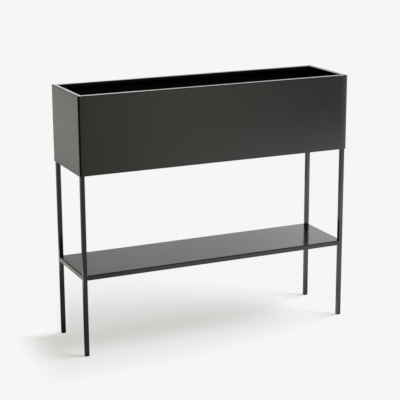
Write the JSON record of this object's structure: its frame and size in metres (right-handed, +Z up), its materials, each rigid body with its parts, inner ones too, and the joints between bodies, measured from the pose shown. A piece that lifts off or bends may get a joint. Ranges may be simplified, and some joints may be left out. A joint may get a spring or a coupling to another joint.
{
  "type": "console table planter",
  "caption": "Narrow free-standing planter: a long folded-steel trough with an in-turned rim, carried on thin square-tube legs with a low folded shelf between them.",
  "frame": {"origin": "on the floor, under the middle of the trough", "axes": "+X along the length, to the right as seen from the front; +Y from the front to the back; +Z up"},
  "size_m": [0.9, 0.24, 0.8],
  "materials": {
    "powder_coat": "satin black powder coat on sheet steel and tube",
    "zinc_plate": "bright zinc-plated steel",
    "foot_plastic": "matt black polyethylene"
  },
  "bodies": {
    "root": {"trough_shell": "powder_coat", "trough_floor": "powder_coat", "leg_front_left": "powder_coat", "leg_front_right": "powder_coat", "leg_back_left": "powder_coat", "leg_back_right": "powder_coat", "leg_plate_front_left": "powder_coat", "leg_plate_front_right": "powder_coat", "leg_plate_back_left": "powder_coat", "leg_plate_back_right": "powder_coat", "leg_studs": "zinc_plate", "leg_washers": "zinc_plate", "leg_nuts": "zinc_plate", "shelf_tray": "powder_coat", "shelf_stiffener": "powder_coat", "shelf_bracket_front_left": "powder_coat", "shelf_bracket_front_right": "powder_coat", "shelf_bracket_back_left": "powder_coat", "shelf_bracket_back_right": "powder_coat", "shelf_screws": "zinc_plate", "leg_rivet_nuts": "zinc_plate", "foot_front_left": "foot_plastic", "foot_front_right": "foot_plastic", "foot_back_left": "foot_plastic", "foot_back_right": "foot_plastic"}
  },
  "joints": []
}
